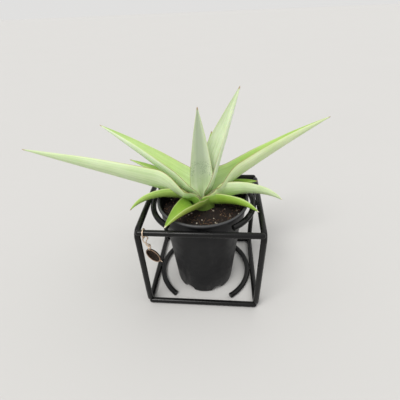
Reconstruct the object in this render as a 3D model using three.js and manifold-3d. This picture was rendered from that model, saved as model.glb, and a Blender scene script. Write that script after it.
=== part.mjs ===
// Potted snake plant in a wire cube stand, built as a three.js Group.
// Millimetres, +Z up. X runs to the right, Y runs away from the front, the floor is Z = 0
// and the origin is the middle of the stand's footprint.
import * as THREE from 'three';
import { mergeVertices } from 'three/addons/utils/BufferGeometryUtils.js';
import Module from 'manifold-3d';

const wasm = await Module();
wasm.setup();

// ---------------------------------------------------------------- driving dimensions
const gap = 0.3;                 // air left between pieces that touch
const rodR = 3;                  // wire radius of the stand
const standW = 114;              // between side frame centrelines, X
const standD = 102;              // between front and back rail centrelines, Y
const standH = 98;               // between bottom and top wire centrelines, Z
const cornerR = 7;               // bend radius of a side frame's corners
const arcSweep = [36, 144];      // degrees round from the front, on each side
const rodSides = 12;

const potY = -4.2;               // pot axis, nudged towards the front rail
const potH = 109;
const footR = 30.4;
const bodyTopR = 40.2;
const collarR = 43.3;
const lipR = 45.8;
const collarZ = 93;
const wall = 1.3;
const baseLift = 6.5;            // base plate above the floor, inside the foot ring
const notchCount = 6;
const notchW = 12;
const notchH = 5.8;
const drainCount = 8;
const drainR = 3;

const soilZ = 98.5;              // top of the potting mix at the pot wall
const soilDome = 0.5;            // how much it rises to the crown

const crown = { x: 0, y: -2, z: 99.4 };
const crownR = 12.5;             // radius of the outermost clasping base
const claspPitch = 0.95;         // radius lost by each younger base
const claspT = 0.6;              // thickness of a clasping base
const claspAngle = 100;          // half angle a base wraps round the crown
const bladeT = 3;                // thickest place of a blade
const tipChannel = 75;           // half angle of the rolled tip
const bladeTaper = [1.35, 1];    // exponents of the width's fall from crown to tip
const rollIn = 4;                // a leaf has rolled over fully by 1 / rollIn of its length

const charmX = -50.6;            // where the split ring hangs on the front rail
const charmLean = 12.5;          // degrees the link and pendant lean away from the post
const ringR = 4.4;               // centreline radius of the split ring
const ringWire = 0.6;
const linkLong = 6.8;            // half length and half width of the link's loop
const linkWide = 2.8;
const linkWire = 0.5;
const eyeR = 2.5;
const discR = 8.4;
const discT = 1.8;
const discTurn = 24;             // degrees its face is turned towards the left

const footprintX = -21.15;        // middle of the footprint seen from the stand's middle
const footprintY = 7.98;

// Leaves from the oldest, outermost one to the youngest. heading and turn are degrees
// anticlockwise from +X; climb is the slope in degrees as the blade leaves the crown and
// at its tip, and late above 1 keeps the droop for the outer end; channel is the half angle
// of the gutter and roll tips the gutter sideways. taper overrides bladeTaper.
const leaves = [
  { name: 'leaf_01_front_left', heading: -118, turn: 0, length: 55.5, sheath: 2, bend: 8,
    climb: [21, -11], width: 33, channel: 55, roll: 8, late: 1.8 },
  { name: 'leaf_02_front_right', heading: -22, turn: -9, length: 55, sheath: 3, bend: 9,
    climb: [22, -25], width: 30, channel: 50, roll: -36, late: 1.8 },
  { name: 'leaf_03_low_left', heading: -178, turn: 27, length: 74, sheath: 4, bend: 10,
    climb: [19, -44], width: 32, channel: 50, roll: 34, late: 1.8 },
  { name: 'leaf_04_right', heading: 4, turn: -17, length: 78, sheath: 5, bend: 10,
    climb: [20, -30], width: 43, channel: 50, roll: -42, late: 1.8 },
  { name: 'leaf_05_back_left', heading: 146, turn: 6, length: 103.5, sheath: 4, bend: 11,
    climb: [16, 3], width: 22, channel: 50, roll: 0 },
  { name: 'leaf_06_back_right', heading: 24, turn: -4, length: 62, sheath: 7, bend: 11,
    climb: [20, -8], width: 25, channel: 50, roll: 0 },
  { name: 'leaf_07_long_left', heading: 175, turn: 7, length: 186, sheath: 8, bend: 12,
    climb: [15, 17], width: 52, channel: 56, roll: 46 },
  { name: 'leaf_08_long_right', heading: 28, turn: 2, length: 168, sheath: 10, bend: 12,
    climb: [26, 15], width: 52, channel: 60, roll: -27 },
  { name: 'leaf_09_high_left', heading: 157, turn: 2, length: 138.5, sheath: 11, bend: 12,
    climb: [30, 23.5], width: 40, channel: 65, roll: 10 },
  { name: 'leaf_10_back', heading: 79, turn: 0, length: 74, sheath: 9, bend: 12,
    climb: [54, 58], width: 24, channel: 50, roll: 0 },
  { name: 'leaf_11_high_right', heading: 39, turn: 2, length: 117, sheath: 12, bend: 14,
    climb: [70, 64], width: 41, channel: 70, roll: 10 },
  { name: 'leaf_12_centre', heading: 108, turn: 0, length: 96.5, sheath: 10, bend: 14,
    climb: [86, 83], width: 25.5, channel: 35, roll: -10, taper: [2, 1] },
];

// ---------------------------------------------------------------- finishes
const finish = {
  wire: new THREE.MeshStandardMaterial({ name: 'wire', color: 0x17181a, roughness: 0.35 }),
  pot: new THREE.MeshStandardMaterial({ name: 'pot', color: 0x1d1e20, roughness: 0.7 }),
  soil: new THREE.MeshStandardMaterial({ name: 'soil', color: 0x2a1d16, roughness: 0.95 }),
  leaf: new THREE.MeshStandardMaterial({ name: 'leaf', color: 0xa9cf7c, roughness: 0.5 }),
  copper: new THREE.MeshStandardMaterial({ name: 'copper', color: 0xb98a63, roughness: 0.3,
    metalness: 1 }),
  bronze: new THREE.MeshStandardMaterial({ name: 'bronze', color: 0x2b201a, roughness: 0.5,
    metalness: 1 }),
};

// ---------------------------------------------------------------- helpers
const rad = THREE.MathUtils.degToRad;

function smooth(x) {
  const t = Math.min(Math.max(x, 0), 1);
  return t * t * (3 - 2 * t);
}

// Strips a geometry to welded positions, the form that manifold works on.
function welded(geometry) {
  const g = geometry.clone();
  g.deleteAttribute('normal');
  g.deleteAttribute('uv');
  return mergeVertices(g, 1e-4);
}

function toSolid(geometry) {
  const g = welded(geometry);
  return new wasm.Manifold(new wasm.Mesh({
    numProp: 3,
    vertProperties: new Float32Array(g.attributes.position.array),
    triVerts: new Uint32Array(g.index.array),
  }));
}

function toGeometry(solid) {
  const mesh = solid.getMesh();
  const g = new THREE.BufferGeometry();
  g.setAttribute('position', new THREE.BufferAttribute(mesh.vertProperties, 3));
  g.setIndex(new THREE.BufferAttribute(mesh.triVerts, 1));
  return g;
}

// Keeps the largest separate body of a solid that a cut has divided.
function largest(solid) {
  return solid.decompose().reduce((a, b) => (b.volume() > a.volume() ? b : a));
}

// Closed skin through equal rings of points: ring to ring quads and a strip cap at each end.
// A closed run of rings (loop = true) joins the last ring to the first and has no caps.
function skin(rings, loop = false) {
  const count = rings[0].length;
  const at = (i, j) => (i % rings.length) * count + (j % count);
  const index = [];
  const quad = (a, b, c, d) => index.push(a, b, c, a, c, d);
  const last = loop ? rings.length : rings.length - 1;
  for (let i = 0; i < last; i += 1) {
    for (let j = 0; j < count; j += 1) {
      quad(at(i, j), at(i, j + 1), at(i + 1, j + 1), at(i + 1, j));
    }
  }
  if (!loop) {
    const half = count / 2;
    for (const [i, flip] of [[0, false], [rings.length - 1, true]]) {
      for (let j = 0; j < half - 1; j += 1) {
        const cap = [at(i, j), at(i, count - 1 - j), at(i, count - 2 - j), at(i, j + 1)];
        quad(...(flip ? cap.reverse() : cap));
      }
    }
  }
  const g = new THREE.BufferGeometry();
  const flat = rings.flat().flatMap((p) => [p.x, p.y, p.z]);
  g.setAttribute('position', new THREE.Float32BufferAttribute(flat, 3));
  g.setIndex(index);
  return g;
}

// Round wire of radius r along points, with its section turned so that a flat facet faces
// down wherever the wire is level.
function wire(points, r, sides, loop = false) {
  const up = new THREE.Vector3(0, 0, 1);
  const across = new THREE.Vector3(0, 1, 0);
  const rings = points.map((p, i) => {
    const n = points.length;
    const before = loop ? points[(i + n - 1) % n] : points[Math.max(i - 1, 0)];
    const after = loop ? points[(i + 1) % n] : points[Math.min(i + 1, n - 1)];
    const tangent = after.clone().sub(before).normalize();
    const ref = Math.abs(tangent.z) > 0.99 ? across : up;
    const side = new THREE.Vector3().crossVectors(ref, tangent).normalize();
    const top = new THREE.Vector3().crossVectors(tangent, side);
    // a mitre keeps the wire's thickness where it turns
    const inA = p.clone().sub(before);
    const inB = after.clone().sub(p);
    const cosHalf = inA.lengthSq() * inB.lengthSq() > 0
      ? Math.cos(inA.angleTo(inB) / 2) : 1;
    const bendDir = inB.normalize().sub(inA.normalize());
    bendDir.normalize();
    return Array.from({ length: sides }, (_, k) => {
      const a = ((k + 0.5) / sides) * 2 * Math.PI;
      const off = side.clone().multiplyScalar(Math.cos(a) * r)
        .addScaledVector(top, Math.sin(a) * r);
      off.addScaledVector(bendDir, off.dot(bendDir) * (1 / cosHalf - 1));
      return p.clone().add(off);
    });
  });
  return skin(rings, loop);
}

const group = new THREE.Group();
group.name = 'potted_snake_plant';

function add(name, geometry, material) {
  geometry.computeVertexNormals();
  const mesh = new THREE.Mesh(geometry, material);
  mesh.name = name;
  group.add(mesh);
  return mesh;
}

// ---------------------------------------------------------------- stand
const lowZ = rodR * Math.cos(Math.PI / rodSides);   // the wire rests on a flat facet
const highZ = lowZ + standH;
const halfW = standW / 2;
const halfD = standD / 2;

// Rounded square bent from one wire, in a plane of constant X.
function sideFramePath(x) {
  const points = [];
  const corners = [[1, -1, -90], [1, 1, 0], [-1, 1, 90], [-1, -1, 180]];
  for (const [sy, sz, start] of corners) {
    const cy = sy * (halfD - cornerR);
    const cz = (sz > 0 ? highZ : lowZ) - sz * cornerR;
    for (let k = 0; k <= 4; k += 1) {
      const a = rad(start + (90 * k) / 4);
      points.push(new THREE.Vector3(x, cy + cornerR * Math.cos(a), cz + cornerR * Math.sin(a)));
    }
  }
  return points;
}

for (const [side, sx] of [['left', -1], ['right', 1]]) {
  add(`side_frame_${side}`, wire(sideFramePath(sx * halfW), rodR, rodSides, true), finish.wire);
}

// Cross rails reach from one side frame to the other, just short of touching.
const railHalf = halfW - rodR - gap;
const railPlaces = [
  ['front_top', -halfD, highZ], ['front_bottom', -halfD, lowZ],
  ['back_top', halfD, highZ], ['back_bottom', halfD, lowZ],
];
for (const [place, y, z] of railPlaces) {
  const ends = [-railHalf, railHalf].map((x) => new THREE.Vector3(x, y, z));
  add(`rail_${place}`, wire(ends, rodR, rodSides), finish.wire);
}

// Four arcs on one circle about the stand's middle keep the pot upright.
const arcR = halfW - 2 * rodR - gap;
for (const [side, sx] of [['left', -1], ['right', 1]]) {
  for (const [level, z] of [['top', highZ], ['bottom', lowZ]]) {
    const points = Array.from({ length: 11 }, (_, k) => {
      const a = rad(arcSweep[0] + ((arcSweep[1] - arcSweep[0]) * k) / 10);
      return new THREE.Vector3(sx * arcR * Math.sin(a), -arcR * Math.cos(a), z);
    });
    add(`arc_${level}_${side}`, wire(points, rodR, rodSides), finish.wire);
  }
}

// ---------------------------------------------------------------- pot
// Radius of the pot's outside at height z on the plain tapering body.
const bodyR = (z) => footR + 1.4 + ((bodyTopR - footR - 1.4) * z) / collarZ;

function lathe(outline, sides) {
  const points = outline.map(([r, z]) => new THREE.Vector2(r, z));
  const g = new THREE.LatheGeometry(points, sides);
  g.rotateX(Math.PI / 2);
  g.translate(0, potY, 0);
  return g;
}

const potOutline = [
  [0, baseLift],
  [bodyR(baseLift) - wall - 1.2, baseLift],
  [footR - wall, 0],
  [footR, 0],
  [bodyR(4), 4],
  [bodyR(collarZ - 1), collarZ - 1],
  [collarR - 0.6, collarZ],
  [collarR, 104.5],
  [lipR - 0.6, 106.2],
  [lipR, potH - 1.2],
  [lipR - 0.8, potH],
  [lipR - 2.6, potH],
  [collarR - wall, 104.5],
  [collarR - 0.6 - wall, collarZ + 1],
  [bodyR(collarZ - 1) - wall, collarZ - 2],
  [bodyR(baseLift + wall) - wall - 0.6, baseLift + wall],
  [0, baseLift + wall],
];
const potSides = 36;
let potSolid = toSolid(lathe(potOutline, potSides));
// arched notches through the foot ring
for (let k = 0; k < notchCount; k += 1) {
  const arch = new THREE.CylinderGeometry(notchW / 2, notchW / 2, 8, 14);
  arch.rotateZ(Math.PI / 2);
  arch.scale(1, 1, (2 * notchH) / notchW);
  arch.rotateX(Math.PI / 2);
  arch.translate(footR, 0, 0);
  arch.rotateZ(rad(-60) + (k / notchCount) * 2 * Math.PI);
  arch.translate(0, potY, 0);
  potSolid = potSolid.subtract(toSolid(arch));
}
// drain holes through the base plate
for (let k = 0; k < drainCount; k += 1) {
  const a = ((k + 0.5) / drainCount) * 2 * Math.PI;
  const drill = new THREE.CylinderGeometry(drainR, drainR, 6, 10);
  drill.rotateX(Math.PI / 2);
  drill.translate(21 * Math.cos(a), potY + 21 * Math.sin(a), baseLift + wall / 2);
  potSolid = potSolid.subtract(toSolid(drill));
}
add('nursery_pot', toGeometry(potSolid), finish.pot);

// ---------------------------------------------------------------- potting mix
const soilOutline = [
  [0, baseLift + wall + gap],
  [bodyR(baseLift + wall + gap) - wall - 0.6 - gap, baseLift + wall + gap],
  [bodyR(collarZ - 3) - wall - gap, collarZ - 3],
  [collarR - 0.8 - wall - gap, soilZ - 0.8],
  [collarR - 3 - wall, soilZ],
  [crownR, soilZ + soilDome],
  [0, soilZ + soilDome],
];
add('potting_mix', lathe(soilOutline, potSides), finish.soil);

// ---------------------------------------------------------------- leaves
// One leaf as a closed skin. It climbs the crown as a clasping base, bends over and runs
// out as a channelled blade that narrows to a rolled point. grow thickens it all round,
// which makes the tool that clears an older leaf from a younger one.
function leafGeometry(leaf, rank, grow = 0) {
  const r0 = crownR - claspPitch * rank;
  const blade = leaf.length - leaf.sheath;
  const stations = [];
  const turnOver = leaf.sheath + leaf.bend;
  for (let k = 0; k <= 5; k += 1) {
    stations.push((turnOver * k) / 5);
  }
  for (let k = 1; k <= 6; k += 1) {
    stations.push(turnOver + ((leaf.length - turnOver) * k) / 6);
  }

  const along = (s) => Math.min(Math.max((s - leaf.sheath) / blade, 0), 1);
  const direction = (s) => {
    const v = along(s);
    const over = smooth((s - leaf.sheath * 0.35) / leaf.bend);
    const slope = leaf.climb[0] + (leaf.climb[1] - leaf.climb[0]) * v ** (leaf.late ?? 1);
    const up = rad(90 * (1 - over) + slope * over);
    const head = rad(leaf.heading + leaf.turn * v);
    return { up, head };
  };

  const point = new THREE.Vector3(
    crown.x + r0 * Math.cos(rad(leaf.heading)),
    crown.y + r0 * Math.sin(rad(leaf.heading)),
    crown.z - grow,
  );
  const rings = [];
  let s = 0;
  for (const station of stations) {
    const steps = Math.max(Math.ceil(station - s), 1);
    const ds = (station - s) / steps;
    for (let k = 0; k < steps && ds > 0; k += 1) {
      const { up, head } = direction(s + ds / 2);
      point.x += Math.cos(up) * Math.cos(head) * ds;
      point.y += Math.cos(up) * Math.sin(head) * ds;
      point.z += Math.sin(up) * ds;
      s += ds;
    }
    const { up, head } = direction(station);
    const v = along(station);
    const open = smooth((station - leaf.sheath * 0.6) / (leaf.bend * 1.3));
    const tangent = new THREE.Vector3(
      Math.cos(up) * Math.cos(head), Math.cos(up) * Math.sin(head), Math.sin(up),
    );
    const left = new THREE.Vector3(-Math.sin(head), Math.cos(head), 0);
    const inner = new THREE.Vector3().crossVectors(tangent, left);
    const roll = rad(leaf.roll * smooth(v * rollIn));
    const side = left.clone().multiplyScalar(Math.cos(roll))
      .addScaledVector(inner, Math.sin(roll));
    const face = inner.clone().multiplyScalar(Math.cos(roll))
      .addScaledVector(left, -Math.sin(roll));

    const halfAngle = rad(claspAngle * (1 - open)
      + open * (leaf.channel + (tipChannel - leaf.channel) * v * v));
    const [fall, sharp] = leaf.taper ?? bladeTaper;
    const taper = (leaf.width / 2) * Math.max(1 - v ** fall, 0) ** sharp;
    const half = Math.max(r0 * rad(claspAngle) * (1 - open) + open * taper, 0.5);
    const rho = half / halfAngle;
    const wrap = halfAngle + grow / rho;
    const thick = Math.max(bladeT * Math.pow(Math.max(1 - Math.pow(v, 2.2), 0), 0.6), 0.7);

    const inside = [];
    const outside = [];
    for (let k = 0; k <= 6; k += 1) {
      const e = -1 + k / 3;
      const a = e * wrap;
      const bladeHere = thick * (0.25 + 0.75 * (1 - Math.pow(Math.abs(e), 2.4)));
      const t = claspT * (1 - open) + bladeHere * open;
      const out = side.clone().multiplyScalar(Math.sin(a))
        .addScaledVector(face, -Math.cos(a));
      const mid = point.clone().addScaledVector(side, rho * Math.sin(a))
        .addScaledVector(face, rho * (1 - Math.cos(a)));
      inside.push(mid.clone().addScaledVector(out, -grow));
      outside.push(mid.clone().addScaledVector(out, t + grow));
    }
    rings.push([...outside, ...inside.reverse()]);
  }
  if (grow > 0) {
    const end = rings[rings.length - 1].map((p) => p.clone());
    const { up, head } = direction(leaf.length);
    end.forEach((p) => {
      p.x += Math.cos(up) * Math.cos(head) * grow;
      p.y += Math.cos(up) * Math.sin(head) * grow;
      p.z += Math.sin(up) * grow;
    });
    rings.push(end);
  }
  return skin(rings);
}

// An older leaf gives way where a younger one, with its air gap, passes through it.
leaves.forEach((leaf, rank) => {
  let solid = toSolid(leafGeometry(leaf, rank));
  for (let young = rank + 1; young < leaves.length; young += 1) {
    const clearance = toSolid(leafGeometry(leaves[young], young, gap));
    if (solid.intersect(clearance).volume() > 0.01) {
      solid = largest(solid.subtract(clearance));
    }
  }
  add(leaf.name, toGeometry(solid), finish.leaf);
});

// ---------------------------------------------------------------- charm
// A split ring hangs on the front top rail, a long link hangs in it, and a round pendant
// hangs from the link by its eye. Everything is centred under the rail.
const ringZ = highZ - (ringR - ringWire - rodR) + gap;
const down = new THREE.Vector3(Math.sin(rad(charmLean)), 0, -Math.cos(rad(charmLean)));
const sideways = new THREE.Vector3(-down.z, 0, down.x);
const toFront = new THREE.Vector3(0, -1, 0);

function loopPath(centre, u, v, ru, rv, count) {
  return Array.from({ length: count }, (_, k) => {
    const a = ((k + 0.5) / count) * 2 * Math.PI;
    return centre.clone().addScaledVector(u, ru * Math.cos(a)).addScaledVector(v, rv * Math.sin(a));
  });
}

const ringCentre = new THREE.Vector3(charmX, -halfD, ringZ);
const ringPath = loopPath(ringCentre, toFront, new THREE.Vector3(0, 0, 1), ringR, ringR, 20);
add('charm_ring', wire(ringPath, ringWire, 8, true), finish.copper);

const linkTop = ringCentre.clone().addScaledVector(new THREE.Vector3(0, 0, -1),
  ringR - ringWire - linkWire - gap);
const linkCentre = linkTop.clone().addScaledVector(down, linkLong);
const linkPath = loopPath(linkCentre, down, sideways, linkLong, linkWide, 20);
add('charm_link', wire(linkPath, linkWire, 8, true), finish.copper);

const eyeTop = linkCentre.clone().addScaledVector(down, linkLong - 2 * linkWire - gap);
const eyeCentre = eyeTop.clone().addScaledVector(down, eyeR);
const eyePath = loopPath(eyeCentre, down, toFront, eyeR, eyeR, 16);
const discCentre = eyeCentre.clone().addScaledVector(down, eyeR + discR - 0.3);
const normal = toFront.clone().multiplyScalar(Math.cos(rad(discTurn)))
  .addScaledVector(sideways, -Math.sin(rad(discTurn)));
const discOutline = [
  [0, -discT / 4], [discR - 1.6, -discT / 4], [discR - 1.2, -discT / 2],
  [discR - 0.3, -discT / 2], [discR, -discT / 5], [discR, discT / 5],
  [discR - 0.3, discT / 2], [discR - 1.2, discT / 2], [discR - 1.6, discT / 4],
  [0, discT / 4],
];
const disc = new THREE.LatheGeometry(discOutline.map(([r, z]) => new THREE.Vector2(r, z)), 24);
const across = new THREE.Vector3().crossVectors(normal, down);
disc.applyMatrix4(new THREE.Matrix4().makeBasis(down, normal, across.negate())
  .setPosition(discCentre));
const pendant = toSolid(disc).add(toSolid(wire(eyePath, linkWire, 8, true)));
add('charm_pendant', toGeometry(pendant), finish.bronze);

// The origin is the middle of the whole part's footprint, on the floor.
group.position.set(-footprintX, -footprintY, 0);

export default group;
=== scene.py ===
import bpy
import numpy as np
from mathutils import Matrix, Vector


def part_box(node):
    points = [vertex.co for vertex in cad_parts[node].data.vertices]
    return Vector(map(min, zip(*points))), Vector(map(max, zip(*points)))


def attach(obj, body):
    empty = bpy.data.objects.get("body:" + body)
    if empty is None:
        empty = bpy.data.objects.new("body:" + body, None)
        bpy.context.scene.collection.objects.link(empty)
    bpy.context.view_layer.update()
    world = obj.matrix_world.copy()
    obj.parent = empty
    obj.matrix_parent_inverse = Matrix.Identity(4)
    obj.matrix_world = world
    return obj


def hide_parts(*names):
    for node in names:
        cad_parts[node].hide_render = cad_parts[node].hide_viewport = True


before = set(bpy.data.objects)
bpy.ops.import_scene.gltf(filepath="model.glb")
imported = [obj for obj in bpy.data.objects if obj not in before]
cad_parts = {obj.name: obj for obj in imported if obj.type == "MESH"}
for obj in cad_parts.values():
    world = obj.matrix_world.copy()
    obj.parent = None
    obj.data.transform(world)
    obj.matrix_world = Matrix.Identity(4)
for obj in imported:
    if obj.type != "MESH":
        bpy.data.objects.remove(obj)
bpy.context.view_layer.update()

mm = 0.001
tau = 2 * np.pi


# low and high corner of a CAD node's box
def corners(node):
    low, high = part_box(node)
    return np.array(low), np.array(high)


def middle(node):
    low, high = corners(node)
    return (low + high) / 2


railFront = middle("rail_front_top")
railBack = middle("rail_back_bottom")
sideLeft = middle("side_frame_left")
sideRight = middle("side_frame_right")
railLow, railHigh = corners("rail_front_top")
potLow, potHigh = corners("nursery_pot")
mixLow, mixHigh = corners("potting_mix")

wireR = (railHigh[2] - railLow[2]) / 2          # radius of the stand's wire
standX = (sideLeft[0] + sideRight[0]) / 2       # middle of the stand
standY = (railFront[1] + railBack[1]) / 2
leftX, rightX = sideLeft[0], sideRight[0]
frontY, backY = railFront[1], railBack[1]
topZ, bottomZ = railFront[2], railBack[2]
potX, potY = (potLow[0] + potHigh[0]) / 2, (potLow[1] + potHigh[1]) / 2
rimZ = potHigh[2]
soilZ = mixHigh[2]


# numbers the quads of a grid of rows x cols points; ring joins the last column to the first
# and loop joins the last row to the first
def gridFaces(rows, cols, ring=True, loop=False, start=0):
    i = np.arange(rows if loop else rows - 1)
    j = np.arange(cols if ring else cols - 1)
    i, j = np.meshgrid(i, j, indexing="ij")
    a = i * cols + j
    b = i * cols + (j + 1) % cols
    c = ((i + 1) % rows) * cols + (j + 1) % cols
    d = ((i + 1) % rows) * cols + j
    return np.stack([a, b, c, d], -1).reshape(-1, 4) + start


# closes the first or last ring of a grid: a fan to the ring's middle, or a strip of quads
# that pairs the two sides of a flat, folded ring
def capFaces(rows, cols, kind, first, hub):
    base = 0 if first else (rows - 1) * cols
    if kind == "fan":
        j = np.arange(cols)
        faces = [np.stack([base + (j + 1) % cols, base + j, np.full(cols, hub)], -1)]
    else:
        k = np.arange(1, cols // 2 - 1)
        last = cols // 2
        faces = [base + np.stack([k, cols - k, cols - k - 1, k + 1], -1),
                 base + np.array([[0, cols - 1, 1], [last - 1, last + 1, last]])]
    return faces if first else [f[:, ::-1] for f in faces]


# six times the signed volume of quads and triangles, positive when faces point outwards
def signedVolume(points, faces):
    total = 0.0
    for f in faces:
        for k in range(1, f.shape[1] - 1):
            a, b, c = points[f[:, 0]], points[f[:, k]], points[f[:, k + 1]]
            total += np.einsum("ij,ij->", a, np.cross(b, c))
    return total


# a closed solid from rings of points: quads along, and a cap at each end unless it loops
def loftSolid(rings, caps=("fan", "fan"), loop=False):
    rows, cols = rings.shape[:2]
    points = rings.reshape(-1, 3)
    faces = [gridFaces(rows, cols, True, loop)]
    if not loop:
        for kind, first in zip(caps, (True, False)):
            if kind == "fan":
                hub = rings[0 if first else -1].mean(0)
                points = np.vstack([points, hub])
            faces += capFaces(rows, cols, kind, first, len(points) - 1)
    if signedVolume(points, faces) < 0:
        faces = [f[:, ::-1] for f in faces]
    return points, faces


# joins several point and face sets into one
def joinSolids(solids):
    points, faces, at = [], [], 0
    for p, fs in solids:
        points.append(p)
        faces += [f + at for f in fs]
        at += len(p)
    return np.vstack(points), faces


# an object from a solid, with its material, per point values, body and CAD nodes
def makePiece(name, solid, finish, body, replaced=(), fields=None, sharp=None):
    points, faces = solid
    mesh = bpy.data.meshes.new(name)
    mesh.from_pydata(points.tolist(), [], [f for part in faces for f in part.tolist()])
    mesh.polygons.foreach_set("use_smooth", [True] * len(mesh.polygons))
    for key, values in (fields or {}).items():
        layer = mesh.attributes.new(key, "FLOAT", "POINT")
        full = np.zeros(len(points))
        full[:len(values)] = values
        layer.data.foreach_set("value", full)
    mesh.update()
    if sharp:
        mesh.set_sharp_from_angle(angle=np.radians(sharp))
    piece = bpy.data.objects.new(name, mesh)
    bpy.context.scene.collection.objects.link(piece)
    mesh.materials.append(finish)
    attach(piece, body)
    if replaced:
        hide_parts(*replaced)
    return piece


# eases from 0 to 1: 3x^2 - 2x^3
def smooth(x):
    x = np.clip(x, 0, 1)
    return x * x * (3 - 2 * x)


# smooth noise on a line: cubic interpolation of seeded random knots
def wander(x, knots, seed, periodic=False):
    values = np.random.default_rng(seed).uniform(-1, 1, knots + 1)
    if periodic:
        values[-1] = values[0]
    at = np.clip(x, 0, 1) * knots
    i = np.minimum(at.astype(int), knots - 1)
    return values[i] + (values[i + 1] - values[i]) * smooth(at - i)


# a material whose shader sockets are set by name, an underscore for each space
def newMaterial(name, **sockets):
    finish = bpy.data.materials.new(name)
    finish.use_nodes = True
    shader = finish.node_tree.nodes["Principled BSDF"]
    for key, value in sockets.items():
        shader.inputs[key.replace("_", " ")].default_value = value
    return finish, finish.node_tree, shader


# adds a node; each input is a link or a value, each setting a property
def put(tree, kind, inputs=None, **settings):
    node = tree.nodes.new("ShaderNode" + kind)
    for key, value in settings.items():
        setattr(node, key, value)
    for key, value in (inputs or {}).items():
        if isinstance(value, bpy.types.NodeSocket):
            tree.links.new(value, node.inputs[key])
        else:
            node.inputs[key].default_value = value
    return node


def objectPlace(tree, scale=(1, 1, 1)):
    place = put(tree, "TexCoord").outputs["Object"]
    return put(tree, "Mapping", {"Vector": place, "Scale": scale}).outputs["Vector"]


def noise(tree, vector, scale, detail=4.0, rough=0.55):
    return put(tree, "TexNoise", {"Vector": vector, "Scale": scale, "Detail": detail,
                                  "Roughness": rough}).outputs["Fac"]


def ramp(tree, factor, stops):
    node = put(tree, "ValToRGB", {"Fac": factor})
    points = node.color_ramp.elements
    while len(points) < len(stops):
        points.new(0.5)
    for point, (at, colour) in zip(points, stops):
        point.position = at
        point.color = (*colour, 1) if len(colour) == 3 else colour
    return node.outputs["Color"]


def grey(value):
    return (value, value, value)


def mix(tree, factor, a, b, how="MIX"):
    node = tree.nodes.new("ShaderNodeMix")
    node.data_type = "RGBA"
    node.blend_type = how
    for key, value in ((0, factor), (6, a), (7, b)):
        if isinstance(value, bpy.types.NodeSocket):
            tree.links.new(value, node.inputs[key])
        else:
            node.inputs[key].default_value = (*value, 1) if key else value
    return node.outputs[2]


def maths(tree, how, a, b=0.0, clamp=False):
    node = put(tree, "Math", {0: a, 1: b}, operation=how)
    node.use_clamp = clamp
    return node.outputs[0]


def field(tree, name):
    return put(tree, "Attribute", attribute_name=name).outputs["Fac"]


def bump(tree, shader, height, strength, distance):
    node = put(tree, "Bump", {"Height": height, "Strength": strength, "Distance": distance})
    tree.links.new(node.outputs["Normal"], shader.inputs["Normal"])


view = {
    "place": (0.0203, -0.2318, 0.2638),   # metres from the middle of the stand's foot
    "yaw": -5.8, "pitch": 34.68, "roll": -2.4,
    "lens": 24.63,
}


# camera axes: forward from yaw and pitch, right level with the floor, both rolled
def addCamera():
    yaw, pitch, roll = np.radians([view["yaw"], view["pitch"], view["roll"]])
    ahead = np.array([np.sin(yaw) * np.cos(pitch), np.cos(yaw) * np.cos(pitch), -np.sin(pitch)])
    level = np.array([np.cos(yaw), -np.sin(yaw), 0.0])
    above = np.cross(level, ahead)
    right = np.cos(roll) * level + np.sin(roll) * above
    up = np.cos(roll) * above - np.sin(roll) * level
    lens = bpy.data.cameras.new("camera")
    lens.lens = view["lens"]
    lens.sensor_width = 36
    lens.clip_start, lens.clip_end = 0.01, 300
    camera = bpy.data.objects.new("camera", lens)
    turn = Matrix(np.column_stack([right, up, -ahead]).tolist()).to_4x4()
    place = np.array(view["place"]) + [standX, standY, 0]
    camera.matrix_world = Matrix.Translation(place.tolist()) @ turn
    bpy.context.scene.collection.objects.link(camera)
    bpy.context.scene.camera = camera


addCamera()
print("camera placed")


studio = {
    "floor": (0.575, 0.57, 0.56), "floorR": 80.0, "floorSides": 96,
    "sky": 0.75, "lamp": (1.0, 0.985, 0.96),
    "keyPower": 1.7, "keySoft": 27, "keyFrom": (-0.35, -0.5, 1.05),
    "fillPower": 0.35, "fillSoft": 60, "fillFrom": (0.6, 0.35, 0.9),
}


# a broad soft light that shines evenly over the whole floor from one side
def addLight(name, source, power, soft):
    lamp = bpy.data.lights.new(name, "SUN")
    lamp.energy = power
    lamp.angle = np.radians(soft)
    lamp.color = studio["lamp"]
    light = bpy.data.objects.new(name, lamp)
    light.rotation_euler = Vector(source).to_track_quat("Z", "Y").to_euler()
    bpy.context.scene.collection.objects.link(light)


# the floor is so wide that it meets the equally bright sky without an edge
def addStudio():
    world = bpy.data.worlds.new("softSky")
    bpy.context.scene.world = world
    world.use_nodes = True
    sky = world.node_tree.nodes["Background"]
    sky.inputs["Color"].default_value = (1.0, 0.995, 0.985, 1)
    sky.inputs["Strength"].default_value = studio["sky"]
    bpy.context.scene.view_settings.view_transform = "Standard"
    finish, tree, shader = newMaterial("floorPaint", Roughness=0.8)
    tone = ramp(tree, noise(tree, objectPlace(tree), 3.0), [
        (0.3, np.array(studio["floor"]) * 0.99), (0.7, studio["floor"])])
    tree.links.new(tone, shader.inputs["Base Color"])
    a = np.arange(studio["floorSides"]) / studio["floorSides"] * tau
    rim = studio["floorR"] * np.stack([np.cos(a), np.sin(a), 0 * a], -1)
    mesh = bpy.data.meshes.new("floor")
    mesh.from_pydata(rim.tolist(), [], [list(range(len(a)))])
    mesh.materials.append(finish)
    floor = bpy.data.objects.new("floor", mesh)
    bpy.context.scene.collection.objects.link(floor)
    addLight("keyLight", studio["keyFrom"], studio["keyPower"], studio["keySoft"])
    addLight("fillLight", studio["fillFrom"], studio["fillPower"], studio["fillSoft"])


addStudio()
print("studio ready")


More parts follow.
